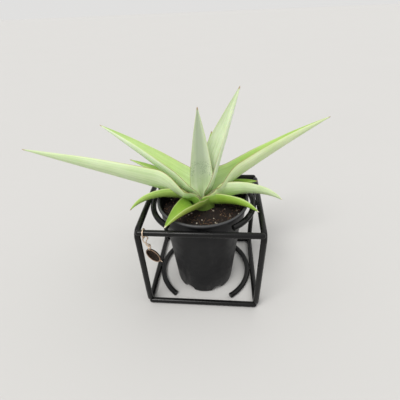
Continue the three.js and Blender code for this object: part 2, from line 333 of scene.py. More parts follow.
stand = {
    "bend": 7 * mm,             # bend radius of the side frames' corners
    "sides": 40,
    "arcFrom": 36, "arcTo": 144,
    "arcGap": 0.1 * mm, "cutEdge": 0.5 * mm,
    "railRun": 1.2 * mm,        # how far a rail runs past the side frame's middle
    "bead": (1.6 * mm, 4.2 * mm, 1.9 * mm),
}


# a round wire: circles of the given radius across a planar path
def wireRings(path, normal, radius, sides, loop=False):
    if loop:
        tangent = np.roll(path, -1, 0) - np.roll(path, 1, 0)
    else:
        tangent = np.gradient(path, axis=0)
    tangent /= np.linalg.norm(tangent, axis=1, keepdims=True)
    normal = np.broadcast_to(np.asarray(normal, float), path.shape)
    across = np.cross(normal, tangent)
    across /= np.linalg.norm(across, axis=1, keepdims=True)
    a = np.arange(sides) / sides * tau
    radius = np.broadcast_to(radius, len(path))[:, None, None]
    a = a[None, :, None]
    return path[:, None] + radius * (np.cos(a) * across[:, None] + np.sin(a) * normal[:, None])


# stations and radii for a cut end with a small rounded edge
def squareEnds(length, radius, edge, count):
    a = np.linspace(0, np.pi / 2, 6)
    lead = edge * (1 - np.cos(a))
    shrink = radius - edge * (1 - np.sin(a))
    s = np.concatenate([lead, np.linspace(edge, length - edge, count)[1:-1], length - lead[::-1]])
    r = np.concatenate([shrink, np.full(count - 2, radius), shrink[::-1]])
    return s, r


# near black coat, mottled in tone and gloss by noise
def wireFinish():
    finish, tree, shader = newMaterial("blackPowderCoat", Roughness=0.3, Coat_Weight=0.3,
                                       Coat_Roughness=0.17, Specular_IOR_Level=0.1)
    place = objectPlace(tree)
    tone = ramp(tree, noise(tree, place, 60.0), [(0.3, grey(0.003)), (0.75, grey(0.007))])
    tree.links.new(tone, shader.inputs["Base Color"])
    gloss = ramp(tree, noise(tree, place, 220.0), [(0.3, grey(0.24)), (0.7, grey(0.36))])
    tree.links.new(gloss, shader.inputs["Roughness"])
    bump(tree, shader, noise(tree, place, 900.0, 3.0), 0.25, 0.0004)
    return finish


# a rounded square in a plane of constant X: four straight runs and four quarter circles
def sideFramePath(x):
    r = stand["bend"]
    parts = []
    for y, z, first in ((backY - r, bottomZ + r, -90), (backY - r, topZ - r, 0),
                        (frontY + r, topZ - r, 90), (frontY + r, bottomZ + r, 180)):
        a = np.radians(np.linspace(first, first + 90, 13))
        parts.append(np.stack([0 * a + x, y + r * np.cos(a), z + r * np.sin(a)], -1))
    path = []
    for k, part in enumerate(parts):
        path.append(part)
        ahead = parts[(k + 1) % 4][0]
        t = np.linspace(0, 1, 8)[1:-1, None]
        path.append(part[-1] + (ahead - part[-1]) * t)
    return np.vstack(path)


# a cross rail: a straight wire with hemispherical ends
def railRings(y, z):
    low, high = leftX - stand["railRun"], rightX + stand["railRun"]
    a = np.linspace(0.02, np.pi / 2, 8)
    body = np.linspace(low + wireR, high - wireR, 60)
    lead = wireR * (1 - np.cos(a))
    x = np.concatenate([low + lead, body[1:-1], high - lead[::-1]])
    r = np.concatenate([wireR * np.sin(a), np.full(len(body) - 2, wireR), wireR * np.sin(a[::-1])])
    path = np.stack([x, 0 * x + y, 0 * x + z], -1)
    return wireRings(path, (0, 0, 1), r, stand["sides"])


# a holding arc: a wire on a circle round the stand's middle, cut square at both ends
def arcRings(side, z):
    r = (rightX - leftX) / 2 - 2 * wireR - stand["arcGap"]
    span = np.radians(stand["arcTo"] - stand["arcFrom"])
    s, radius = squareEnds(r * span, wireR, stand["cutEdge"], 60)
    a = np.radians(stand["arcFrom"]) + s / r
    path = np.stack([standX + side * r * np.sin(a), standY - r * np.cos(a), 0 * a + z], -1)
    return wireRings(path, (0, 0, 1), radius, stand["sides"])


# a weld bead: an ellipsoid whose radius ripples along its length
def beadSolid(centre, size, seed):
    u = np.linspace(0.05, np.pi - 0.05, 14)
    v = np.arange(20) / 20 * tau
    u, v = np.meshgrid(u, v, indexing="ij")
    ripple = 1 + 0.07 * np.sin(u * 9 + seed) + 0.04 * np.sin(v * 3 + seed)
    shape = np.stack([np.sin(u) * np.cos(v) * ripple, np.cos(u), np.sin(u) * np.sin(v) * ripple], -1)
    return loftSolid(np.asarray(centre) + shape * np.asarray(size))


# two side frames, four cross rails, and four arcs with a weld bead each
def buildStand():
    black = wireFinish()
    for side, x in (("left", leftX), ("right", rightX)):
        rings = wireRings(sideFramePath(x), (1, 0, 0), wireR, stand["sides"], loop=True)
        makePiece("sideWire_" + side, loftSolid(rings, loop=True), black, "stand",
                  ["side_frame_" + side])
    for level, z in (("top", topZ), ("bottom", bottomZ)):
        for face, y in (("front", frontY), ("back", backY)):
            makePiece("crossRail_" + face + "_" + level, loftSolid(railRings(y, z)), black,
                      "stand", ["rail_" + face + "_" + level])
        for side, turn in (("left", -1), ("right", 1)):
            arc = "arc_" + level + "_" + side
            touch = ((rightX - leftX) / 2 - wireR) * turn + standX
            bead = beadSolid((touch, standY, z), stand["bead"], turn + z)
            solid = joinSolids([loftSolid(arcRings(turn, z)), bead])
            makePiece("potArc_" + level + "_" + side, solid, black, "stand", [arc])


buildStand()
print("stand built")


pot = {
    "sides": 288,
    "wall": 1.3 * mm,
    "footR": 30.4 * mm, "footStep": 1.4 * mm, "bodyTopR": 40.2 * mm, "collarR": 43.3 * mm,
    "collarZ": 93 * mm, "baseLift": 6.5 * mm,
    "notches": 6, "notchW": 12 * mm, "notchH": 5.8 * mm, "notchStart": -60,
    "notchReach": 7.6 * mm, "notchBand": 1.9 * mm,     # height and depth of wall that it moves
    "drains": 8, "drainR": 3 * mm, "drainRing": 21 * mm,
}


# dark plastic with dusty scuffs low down, and a painted highlight along the top of the lip
def potFinish():
    finish, tree, shader = newMaterial("blackMouldedPlastic", Roughness=0.5,
                                       Specular_IOR_Level=0.22)
    place = objectPlace(tree)
    tone = ramp(tree, noise(tree, place, 35.0), [(0.3, (0.006, 0.0062, 0.007)),
                                                 (0.8, (0.011, 0.0113, 0.0125))])
    # dusty scuffs: stretched noise, kept to the lower wall
    streak = noise(tree, objectPlace(tree, (1, 1, 0.25)), 90.0, 6.0, 0.7)
    high = put(tree, "SeparateXYZ", {0: place}).outputs["Z"]
    low = put(tree, "MapRange", {"Value": high, "From Min": 0.0, "From Max": 0.07,
                                 "To Min": 0.9, "To Max": 0.12}).outputs["Result"]
    dust = maths(tree, "MULTIPLY", ramp(tree, streak, [(0.55, grey(0)), (0.8, grey(1))]), low)
    tone = mix(tree, dust, tone, (0.075, 0.072, 0.07))
    # the top of the lip is glossier, and paler as a painted highlight
    lip = put(tree, "MapRange", {"Value": high, "From Min": 0.1073, "From Max": 0.1086,
                                 "To Min": 0.0, "To Max": 0.75}).outputs["Result"]
    tone = mix(tree, lip, tone, (0.085, 0.086, 0.09))
    tree.links.new(tone, shader.inputs["Base Color"])
    gloss = ramp(tree, noise(tree, place, 130.0), [(0.3, grey(0.38)), (0.75, grey(0.55))])
    gloss = mix(tree, lip, gloss, grey(0.22))
    tree.links.new(gloss, shader.inputs["Roughness"])
    bump(tree, shader, noise(tree, place, 1400.0, 2.0), 0.2, 0.0003)
    return finish


# half outline of the pot from under the base plate, round the foot ring, up the wall, over
# the rolled lip and down the inside to the top of the base plate, as radius and height
def potOutline():
    w, lift = pot["wall"], pot["baseLift"]
    lipR = (potHigh[0] - potLow[0]) / 2
    foot, top = pot["footR"], pot["collarZ"]
    wallFoot = foot + pot["footStep"]
    body = lambda z: wallFoot + (pot["bodyTopR"] - wallFoot) * z / top
    corner = np.radians(np.linspace(-90, 0, 7))[1:]
    corner = np.stack([foot - 1 * mm + (body(4 * mm) - foot + 1 * mm) * np.cos(corner),
                       4 * mm + 4 * mm * np.sin(corner)], -1)
    wallZ = np.linspace(6 * mm, top - 1.5 * mm, 26)
    c = pot["collarR"]
    lip = np.array([
        (body(top), top - 0.6 * mm), (body(top) + 0.8 * mm, top - 0.35 * mm),
        (c - 1.5 * mm, top - 0.1 * mm), (c - 0.75 * mm, top + 0.1 * mm),
        (c - 0.55 * mm, top + 0.6 * mm), (c - 0.45 * mm, top + 3 * mm), (c - 0.2 * mm, top + 7 * mm),
        (c, 103.6 * mm), (c + 0.1 * mm, 104.6 * mm), (c + 0.5 * mm, 105.5 * mm),
        (lipR - 0.9 * mm, 106.0 * mm), (lipR - 0.25 * mm, 106.3 * mm), (lipR - 0.05 * mm, 106.8 * mm),
        (lipR, 107.4 * mm), (lipR - 0.05 * mm, 108.0 * mm), (lipR - 0.3 * mm, 108.6 * mm),
        (lipR - 0.8 * mm, 108.95 * mm), (lipR - 1.4 * mm, rimZ), (lipR - 2.0 * mm, 108.85 * mm),
        (lipR - 2.5 * mm, 108.3 * mm), (lipR - 2.8 * mm, 107.3 * mm), (c - w + 0.1 * mm, 104.8 * mm),
        (c - w - 0.1 * mm, 103.5 * mm), (c - w - 0.5 * mm, top + 1.2 * mm),
        (c - w - 1.1 * mm, top + 0.4 * mm), (body(top) - w, top - 0.8 * mm)])
    innerZ = np.linspace(top - 3 * mm, lift + w + 1.5 * mm, 12)
    return np.vstack([
        [(8 * mm, lift), (16 * mm, lift), (24 * mm, lift), (foot - w - 0.8 * mm, lift),
         (foot - w - 0.3 * mm, lift - 0.6 * mm), (foot - w - 0.1 * mm, 3 * mm),
         (foot - w - 0.05 * mm, 0.4 * mm), (foot - w + 0.3 * mm, 0), (foot - 1 * mm, 0)],
        corner,
        np.stack([body(wallZ), wallZ], -1),
        lip,
        np.stack([body(innerZ) - w, innerZ], -1),
        [(foot - 1.8 * mm, lift + w + 0.3 * mm), (24 * mm, lift + w), (16 * mm, lift + w),
         (8 * mm, lift + w)]])


# the outline swept round the axis; in each notch the foot is squeezed up over an arch
def potRings():
    outline = potOutline()
    a = np.arange(pot["sides"]) / pot["sides"] * tau
    step = tau / pot["notches"]
    off = (a - np.radians(pot["notchStart"]) + step / 2) % step - step / 2
    across = off * pot["footR"] / (pot["notchW"] / 2)
    arch = pot["notchH"] * np.sqrt(np.clip(1 - across ** 2, 0, 1))
    r, z = outline[:, :1], outline[:, 1:]
    low = np.clip(1 - z / pot["notchReach"], 0, 1) * (r > pot["footR"] - pot["notchBand"])
    z = z + low * arch[None]
    r = r + 0 * a[None]
    return np.stack([potX + r * np.cos(a), potY + r * np.sin(a), z], -1)


# upright cylinders on a circle, one through each drain hole
def drainTools():
    a = (np.arange(pot["drains"]) + 0.5) / pot["drains"] * tau
    tools = []
    for turn in a:
        x, y = potX + pot["drainRing"] * np.cos(turn), potY + pot["drainRing"] * np.sin(turn)
        path = np.array([[x, y, pot["baseLift"] - 3 * mm], [x, y, pot["baseLift"] + 5 * mm]])
        tools.append(loftSolid(wireRings(path, (1, 0, 0), pot["drainR"], 24)))
    return joinSolids(tools)


# the swept wall less the drain cylinders
def buildPot():
    piece = makePiece("potShell", loftSolid(potRings()), potFinish(), "stand",
                      ["nursery_pot"], sharp=40)
    points, faces = drainTools()
    mesh = bpy.data.meshes.new("drainTool")
    mesh.from_pydata(points.tolist(), [], [f for part in faces for f in part.tolist()])
    tool = bpy.data.objects.new("drainTool", mesh)
    bpy.context.scene.collection.objects.link(tool)
    cut = piece.modifiers.new("drains", "BOOLEAN")
    cut.operation, cut.solver, cut.object = "DIFFERENCE", "EXACT", tool
    bpy.context.view_layer.update()
    seen = piece.evaluated_get(bpy.context.evaluated_depsgraph_get())
    finished = bpy.data.meshes.new_from_object(seen)
    piece.modifiers.clear()
    piece.data = finished
    bpy.data.objects.remove(tool)


buildPot()
print("pot built")


mixBed = {
    "rings": 70, "sides": 220,
    "rough": 0.55 * mm, "mound": 2.6 * mm,
    "crumbs": 1100, "crumbSize": (0.35 * mm, 0.95 * mm),
    "bark": 70, "barkSize": (0.9 * mm, 2.3 * mm),
    "perlite": 46, "perliteSize": (0.35 * mm, 1.2 * mm),
    "grit": 110, "gritSize": (0.4 * mm, 0.8 * mm),
    "fibres": 34,
    "waves": 26, "wavePitch": (200, 1500),
}
mixR = (mixHigh[0] - mixLow[0]) / 2


# height of the bed: a low dome, a mound round the crown and a sum of seeded plane waves
def bedHeight(x, y):
    r = np.hypot(x - potX, y - potY) / mixR
    waves = np.random.default_rng(5)
    bumps = 0
    for k in range(mixBed["waves"]):
        turn, phase = waves.uniform(0, tau, 2)
        pitch = waves.uniform(*mixBed["wavePitch"])
        bumps = bumps + np.sin(pitch * (x * np.cos(turn) + y * np.sin(turn)) + phase) * (
            240 / (pitch + 150))
    dome = soilZ - 1.1 * mm - 0.9 * mm * r ** 2 + mixBed["mound"] * np.exp(-(r / 0.42) ** 4)
    return dome + mixBed["rough"] * bumps * 0.42


# matt and grainy, between two colours
def mixFinish(name, dark, light, rough=0.9, scale=380.0):
    finish, tree, shader = newMaterial(name, Roughness=rough)
    place = objectPlace(tree)
    tone = ramp(tree, noise(tree, place, scale, 6.0, 0.7), [(0.32, dark), (0.72, light)])
    tree.links.new(tone, shader.inputs["Base Color"])
    bump(tree, shader, noise(tree, place, scale * 2.5, 4.0), 0.5, 0.0005)
    return finish


# a lump: a coarse sphere with a random radius at each point, one per place, as one solid
def lumps(places, sizes, seed, rows=4, cols=6):
    draw = np.random.default_rng(seed)
    u = (np.arange(rows) + 1) / (rows + 1) * np.pi
    v = np.arange(cols) / cols * tau
    u, v = np.meshgrid(u, v, indexing="ij")
    ball = np.stack([np.sin(u) * np.cos(v), np.sin(u) * np.sin(v), np.cos(u)], -1)
    shape, faces = loftSolid(ball)
    shape[-2:] = [[0, 0, 1], [0, 0, -1]]
    count = len(places)
    radii = draw.uniform(0.72, 1.18, (count, len(shape), 1))
    solid = shape[None] * radii * sizes[:, None]
    q = draw.normal(size=(count, 4))
    q /= np.linalg.norm(q, axis=1, keepdims=True)
    w, x, y, z = q.T
    spin = np.stack([
        1 - 2 * (y * y + z * z), 2 * (x * y - z * w), 2 * (x * z + y * w),
        2 * (x * y + z * w), 1 - 2 * (x * x + z * z), 2 * (y * z - x * w),
        2 * (x * z - y * w), 2 * (y * z + x * w), 1 - 2 * (x * x + y * y)], -1).reshape(-1, 3, 3)
    solid = np.einsum("nij,nkj->nki", spin, solid) + places[:, None]
    shift = (np.arange(count) * len(shape))[:, None, None]
    return solid.reshape(-1, 3), [(f[None] + shift).reshape(-1, f.shape[1]) for f in faces]


# random spots on the bed, evenly spread over its area, lying this deep in it
def bedSpots(count, seed, sink):
    draw = np.random.default_rng(seed)
    r = np.sqrt(draw.uniform(0.02, 0.93, count)) * mixR
    a = draw.uniform(0, tau, count)
    x, y = potX + r * np.cos(a), potY + r * np.sin(a)
    return np.stack([x, y, bedHeight(x, y) - sink], -1)


# three half axes for each lump: a random size, mostly small, times a random shape
def lumpSizes(count, span, seed, flat=(0.6, 1.0)):
    draw = np.random.default_rng(seed)
    size = draw.uniform(0, 1, count) ** 1.6 * (span[1] - span[0]) + span[0]
    shape = np.stack([draw.uniform(0.8, 1.3, count), draw.uniform(0.6, 1.0, count),
                      draw.uniform(*flat, count)], -1)
    return size[:, None] * shape


# a strand: a thin wire along a bowed line that follows the bed
def fibreSolid(seed):
    draw = np.random.default_rng(seed)
    r, a = np.sqrt(draw.uniform(0.08, 0.85)) * mixR, draw.uniform(0, tau)
    length, heading, bow = draw.uniform(3, 11) * mm, draw.uniform(0, tau), draw.uniform(-0.3, 0.3)
    t = np.linspace(-0.5, 0.5, 14)
    x = potX + r * np.cos(a) + length * (t * np.cos(heading) - bow * (t * t) * np.sin(heading) * 2)
    y = potY + r * np.sin(a) + length * (t * np.sin(heading) + bow * (t * t) * np.cos(heading) * 2)
    out = np.maximum(np.hypot(x - potX, y - potY) / (mixR * 0.97), 1)
    x, y = potX + (x - potX) / out, potY + (y - potY) / out
    lift = 0.35 * mm + draw.uniform(0, 1.4) * mm * (0.25 - t * t) * 4
    path = np.stack([x, y, bedHeight(x, y) + lift], -1)
    return loftSolid(wireRings(path, (0, 0, 1), draw.uniform(0.06, 0.13) * mm, 6))


# the bed, closed below by the pot's taper, and the loose grains that lie on it
def buildMix():
    dark = mixFinish("darkMix", (0.004, 0.003, 0.0025), (0.026, 0.014, 0.010))
    a = np.arange(mixBed["sides"]) / mixBed["sides"] * tau
    low, high = mixLow[2], soilZ - 2 * mm
    wallR = np.interp([low, 20 * mm, 90 * mm, high],
                      [low, 93 * mm, high], [31.2 * mm, 38.4 * mm, mixR])
    outline = [(0.6 * wallR[0], low), (wallR[0], low), (wallR[1], 20 * mm),
               (wallR[2], 90 * mm), (mixR, high)]
    rings = [np.stack([potX + r * np.cos(a), potY + r * np.sin(a), 0 * a + z], -1)
             for r, z in outline]
    for r in np.linspace(1, 0.02, mixBed["rings"]) * (mixR - 0.1 * mm):
        x, y = potX + r * np.cos(a), potY + r * np.sin(a)
        rings.append(np.stack([x, y, bedHeight(x, y)], -1))
    makePiece("mixBed", loftSolid(np.array(rings)), dark, "stand", ["potting_mix"])
    crumbs = lumps(bedSpots(mixBed["crumbs"], 21, 0.1 * mm),
                   lumpSizes(mixBed["crumbs"], mixBed["crumbSize"], 22), 23)
    makePiece("mixCrumbs", crumbs, mixFinish("peatCrumbs", (0.006, 0.004, 0.003),
                                             (0.055, 0.028, 0.018), 0.85, 240.0), "stand")
    bark = lumps(bedSpots(mixBed["bark"], 31, 0.0), lumpSizes(
        mixBed["bark"], mixBed["barkSize"], 32, (0.22, 0.4)), 33, 4, 7)
    makePiece("mixBark", bark, mixFinish("barkChips", (0.03, 0.014, 0.009),
                                         (0.18, 0.09, 0.055), 0.75, 300.0), "stand")
    perlite = lumps(bedSpots(mixBed["perlite"], 41, -0.15 * mm), lumpSizes(
        mixBed["perlite"], mixBed["perliteSize"], 42), 43, 5, 8)
    makePiece("mixPerlite", perlite, mixFinish("perliteGrains", (0.34, 0.28, 0.21),
                                               (0.72, 0.66, 0.56), 0.8, 420.0), "stand")
    grit = lumps(bedSpots(mixBed["grit"], 51, -0.1 * mm), lumpSizes(
        mixBed["grit"], mixBed["gritSize"], 52), 53)
    makePiece("mixGrit", grit, mixFinish("tanGrit", (0.12, 0.065, 0.035),
                                         (0.42, 0.27, 0.16), 0.8, 420.0), "stand")
    strands = joinSolids([fibreSolid(60 + k) for k in range(mixBed["fibres"])])
    makePiece("mixFibres", strands, mixFinish("coirStrands", (0.1, 0.05, 0.025),
                                              (0.36, 0.2, 0.1), 0.7, 300.0), "stand")


buildMix()
print("potting mix built")


crown = {
    "x": standX, "y": potY + 2.2 * mm, "z": soilZ + 0.4 * mm,
    "radius": 12.5 * mm, "pitch": 0.95 * mm,      # outermost clasping base, and the step inwards
    "clasp": 100, "claspT": 0.6 * mm,
    "root": 2.5 * mm,                             # how far the bases go down into the mix
}

silver, frost = (0.62, 0.75, 0.44), (0.70, 0.79, 0.56)
jade, lime = (0.47, 0.64, 0.22), (0.38, 0.57, 0.12)
grass, moss = (0.28, 0.46, 0.05), (0.20, 0.35, 0.06)
chalk, olive = (0.77, 0.87, 0.65), (0.39, 0.51, 0.09)
cream, tan = (0.80, 0.74, 0.58), (0.40, 0.27, 0.15)
pearl, marginGreen = (0.69, 0.80, 0.46), (0.68, 0.80, 0.38)
rustBrown, speckGreen = (0.24, 0.12, 0.05), (0.16, 0.24, 0.12)

# oldest leaf first. heading and turn are degrees anticlockwise from +X, climb is the slope
# in degrees where the blade leaves the crown and at its tip, channel is the half angle of
# the gutter, roll tips the gutter sideways, fold below 1 makes the gutter a V, late above 1
# holds the first slope longer, taper shapes the width, and lengths are millimetres
# each leaf's base colour is painted shade at its crown end
leaves = [
    {"node": "leaf_01_front_left", "heading": -118, "turn": 0, "length": 55.5, "sheath": 2,
     "bend": 8, "climb": (21, -11), "width": 33, "channel": 55, "roll": 8, "fold": 0.5,
     "late": 1.8, "outer": olive, "inner": grass, "base": moss, "tip": cream},
    {"node": "leaf_02_front_right", "heading": -22, "turn": -9, "length": 55, "sheath": 3,
     "bend": 9, "climb": (22, -25), "width": 30, "channel": 50, "roll": -36, "fold": 0.7,
     "late": 1.8, "outer": grass, "inner": lime, "base": moss, "tip": cream},
    {"node": "leaf_03_low_left", "heading": -178, "turn": 27, "length": 74, "sheath": 4,
     "bend": 10, "climb": (19, -44), "width": 32, "channel": 50, "roll": 34, "fold": 0.7,
     "late": 1.8, "outer": lime, "inner": lime, "base": moss, "tip": tan},
    {"node": "leaf_04_right", "heading": 4, "turn": -17, "length": 78, "sheath": 5,
     "bend": 10, "climb": (20, -30), "width": 43, "channel": 50, "roll": -42, "fold": 0.8,
     "late": 1.8, "outer": silver, "inner": lime, "base": jade, "tip": cream},
    {"node": "leaf_05_back_left", "heading": 146, "turn": 6, "length": 103.5, "sheath": 4,
     "bend": 11, "climb": (16, 3), "width": 22, "channel": 50, "roll": 0, "fold": 0.8,
     "outer": jade, "inner": lime, "base": moss, "tip": tan},
    {"node": "leaf_06_back_right", "heading": 24, "turn": -4, "length": 62, "sheath": 7,
     "bend": 11, "climb": (20, -8), "width": 25, "channel": 50, "roll": 0, "fold": 0.8,
     "outer": grass, "inner": grass, "base": moss, "tip": tan},
    {"node": "leaf_07_long_left", "heading": 175, "turn": 7, "length": 186, "sheath": 8,
     "bend": 12, "climb": (15, 17), "width": 52, "channel": 56, "roll": 46, "fold": 1.0,
     "outer": silver, "inner": lime, "base": silver, "tip": tan},
    {"node": "leaf_08_long_right", "heading": 28, "turn": 2, "length": 168, "sheath": 10,
     "bend": 12, "climb": (26, 15), "width": 52, "channel": 60, "roll": -27, "fold": 0.8,
     "outer": pearl, "inner": lime, "base": silver, "tip": tan},
    {"node": "leaf_09_high_left", "heading": 157, "turn": 2, "length": 138.5, "sheath": 11,
     "bend": 12, "climb": (30, 23.5), "width": 40, "channel": 65, "roll": 10, "fold": 0.5,
     "outer": chalk, "inner": jade, "base": silver, "tip": tan},
    {"node": "leaf_10_back", "heading": 79, "turn": 0, "length": 74, "sheath": 9,
     "bend": 12, "climb": (54, 58), "width": 24, "channel": 50, "roll": 0, "fold": 0.8,
     "outer": jade, "inner": lime, "base": moss, "tip": tan},
    {"node": "leaf_11_high_right", "heading": 39, "turn": 2, "length": 117, "sheath": 12,
     "bend": 14, "climb": (70, 64), "width": 41, "channel": 70, "roll": 10, "fold": 0.5,
     "outer": chalk, "inner": frost, "base": jade, "tip": tan},
    {"node": "leaf_12_centre", "heading": 108, "turn": 0, "length": 96.5, "sheath": 10,
     "bend": 14, "climb": (86, 83), "width": 25.5, "channel": 35, "roll": -10, "fold": 1.0,
     "outer": frost, "inner": frost, "base": silver, "tip": tan,
     # the centre leaf's extra middle colour is painted shade down its gutter
     "channelShade": (0.40, 0.48, 0.33), "taper": (2.0, 1.0)},
]
blade = {
    "rows": 150, "cols": 26,
    "thick": 3.0 * mm, "tipRoll": 75, "rollIn": 4,
    "taper": (1.35, 1.0), "thin": (2.2, 0.6),
    "rib": 0.05 * mm, "ribs": 6,
    "horn": 2.2 * mm,                             # length of the hard point
    "bendFrom": 0.35, "openFrom": 0.6,            # shares of the sheath where these start
    "openRun": 1.3,                               # opening's length over the bend's
    "leastHalf": 0.55 * mm, "leastT": 0.8 * mm,
}


# distances along the leaf: close together over the clasp and the bend, wider on the blade,
# and close again at the point
def leafStations(length, turnOver):
    near = np.linspace(-crown["root"], turnOver, 52)[:-1]
    t = np.linspace(0, 1, blade["rows"] - 51)
    far = turnOver + (length - turnOver) * (t + 0.08 * np.sin(tau * t) / tau * 2)
    return np.concatenate([near, far])


# the leaf's spine: the running sum of a unit tangent that stands upright in the clasp, bends
# over and then eases from one slope to the other, with the gutter's two axes turned by roll
def leafSpine(leaf, rank, r0, s, v):
    sheath, bend = leaf["sheath"] * mm, leaf["bend"] * mm
    over = smooth((s - sheath * blade["bendFrom"]) / bend)
    slope = leaf["climb"][0] + (leaf["climb"][1] - leaf["climb"][0]) * v ** leaf.get("late", 1)
    up = np.radians(90 * (1 - over) + slope * over)
    head = np.radians(leaf["heading"] + leaf["turn"] * v)
    tangent = np.stack([np.cos(up) * np.cos(head), np.cos(up) * np.sin(head), np.sin(up)], -1)
    step = np.diff(s)[:, None]
    spine = np.vstack([np.zeros(3), np.cumsum((tangent[1:] + tangent[:-1]) / 2 * step, 0)])
    foot = np.array([crown["x"] + r0 * np.cos(head[0]), crown["y"] + r0 * np.sin(head[0]),
                     crown["z"] - crown["root"]])
    spine = spine + foot

    left = np.stack([-np.sin(head), np.cos(head), 0 * head], -1)
    inward = np.cross(tangent, left)
    roll = np.radians(leaf["roll"] * smooth(v * blade["rollIn"]) + 3 * wander(v, 5, rank + 70) * v)
    side = left * np.cos(roll)[:, None] + inward * np.sin(roll)[:, None]
    face = inward * np.cos(roll)[:, None] - left * np.sin(roll)[:, None]
    return spine, side, face


# the leaf's surface: along the spine, a gutter whose direction angle grows from the middle to
# each margin, as wide as the taper gives, with the outer skin set off along its normal by a
# thickness that dies out at the margins
def leafSurface(leaf, rank):
    length, sheath, bend = (leaf[k] * mm for k in ("length", "sheath", "bend"))
    s = leafStations(length, sheath + bend)
    v = np.clip((s - sheath) / (length - sheath), 0, 1)
    r0 = crown["radius"] - crown["pitch"] * rank
    spine, side, face = leafSpine(leaf, rank, r0, s, v)

    opened = smooth((s - sheath * blade["openFrom"]) / (bend * blade["openRun"]))
    theta = np.radians(crown["clasp"] * (1 - opened)
                       + opened * (leaf["channel"] + (blade["tipRoll"] - leaf["channel"]) * v ** 2))
    p, q = leaf.get("taper", blade["taper"])
    taper = leaf["width"] * mm / 2 * (1 - v ** p) ** q * (1 + 0.02 * wander(v, 7, rank + 90))
    half = r0 * np.radians(crown["clasp"]) * (1 - opened) + opened * taper
    p, q = blade["thin"]
    thick = np.maximum(blade["thick"] * (1 - v ** p) ** q, blade["leastT"])
    point = np.sqrt(np.clip((length - s) / blade["horn"], 0.0004, 1))
    half = np.maximum(half, blade["leastHalf"]) * point
    thick = thick * point

    e = -np.cos(np.linspace(0, np.pi, blade["cols"] + 1))
    fold = 1 - (1 - leaf["fold"]) * opened[:, None]
    angle = theta[:, None] * np.sign(e) * np.abs(e) ** fold
    ds = np.diff(e)
    gather = lambda w: np.hstack([0 * w[:, :1], np.cumsum((w[:, 1:] + w[:, :-1]) / 2 * ds, 1)])
    x, y = gather(np.cos(angle)), gather(np.sin(angle))
    centre = blade["cols"] // 2
    x, y = (x - x[:, [centre]]) * half[:, None], (y - y[:, [centre]]) * half[:, None]

    edge = np.sqrt(np.clip(1 - np.abs(e) ** 9, 0, 1))
    swell = 0.25 + 0.75 * (1 - np.abs(e) ** 2.4)
    skin = (crown["claspT"] * (1 - opened)[:, None] + (thick * opened)[:, None] * swell) * edge
    ribs = blade["rib"] * np.cos(tau * blade["ribs"] * e) * edge * (opened * (1 - v))[:, None]
    mid = spine[:, None] + x[..., None] * side[:, None] + y[..., None] * face[:, None]
    out = np.sin(angle)[..., None] * side[:, None] - np.cos(angle)[..., None] * face[:, None]
    outside = mid + (skin + ribs)[..., None] * out
    inside = mid + (ribs * 0.6)[..., None] * out
    rings = np.concatenate([outside, inside[:, -2:0:-1]], 1)

    cols = rings.shape[1]
    across = np.concatenate([e, e[-2:0:-1]])
    isInside = np.concatenate([np.zeros(len(e)), np.ones(len(e) - 2)])
    isInside[0] = isInside[len(e) - 1] = 0.5
    full = lambda row: np.tile(row, (len(s), 1)).ravel()
    fields = {"along": np.repeat(s / length, cols), "across": full(across),
              "inside": full(isInside)}
    return rings, fields
